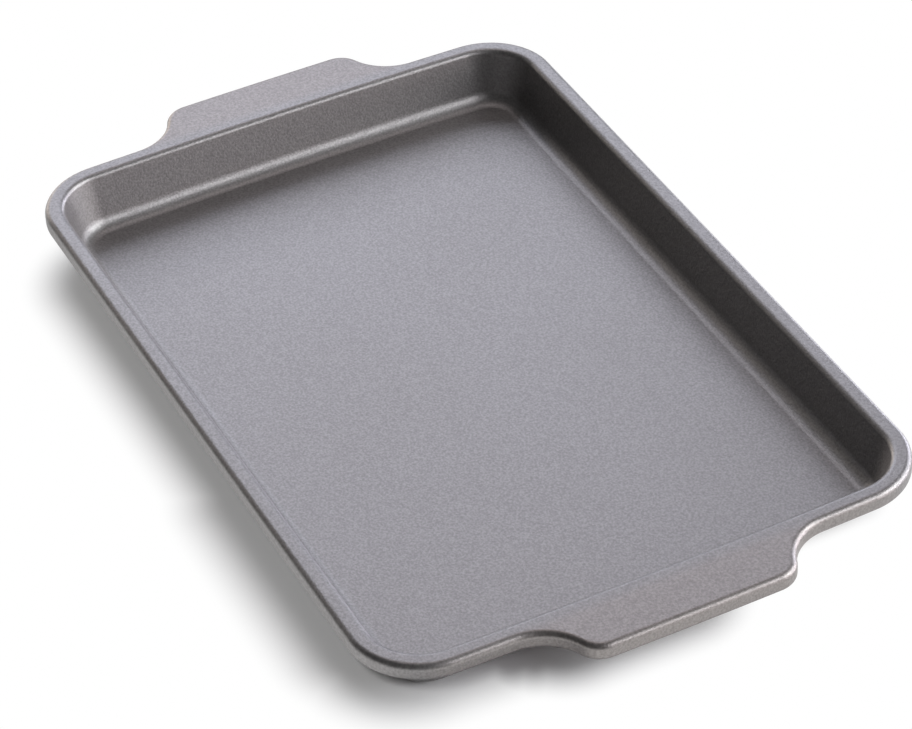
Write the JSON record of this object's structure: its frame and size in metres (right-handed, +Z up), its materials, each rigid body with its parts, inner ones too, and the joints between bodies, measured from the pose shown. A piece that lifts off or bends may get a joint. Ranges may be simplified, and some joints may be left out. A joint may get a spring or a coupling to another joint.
{
  "type": "jelly roll pan",
  "caption": "Shallow rectangular sheet-metal baking pan with sloping walls, rounded corners, a rolled wire-stiffened rim and a flat tab handle at each end.",
  "frame": {"origin": "middle of the underside of the floor, on the surface the pan stands on", "axes": "+X along the pan through both handles, +Y across it, +Z up out of the open top"},
  "size_m": [0.4382, 0.267, 0.0268],
  "materials": {
    "nonstick_coat": "satin metallic grey nonstick coat with a fine speckle",
    "steel_wire": "drawn steel wire"
  },
  "bodies": {
    "root": {"pan_shell": "nonstick_coat", "rim_wire": "steel_wire"}
  },
  "joints": []
}
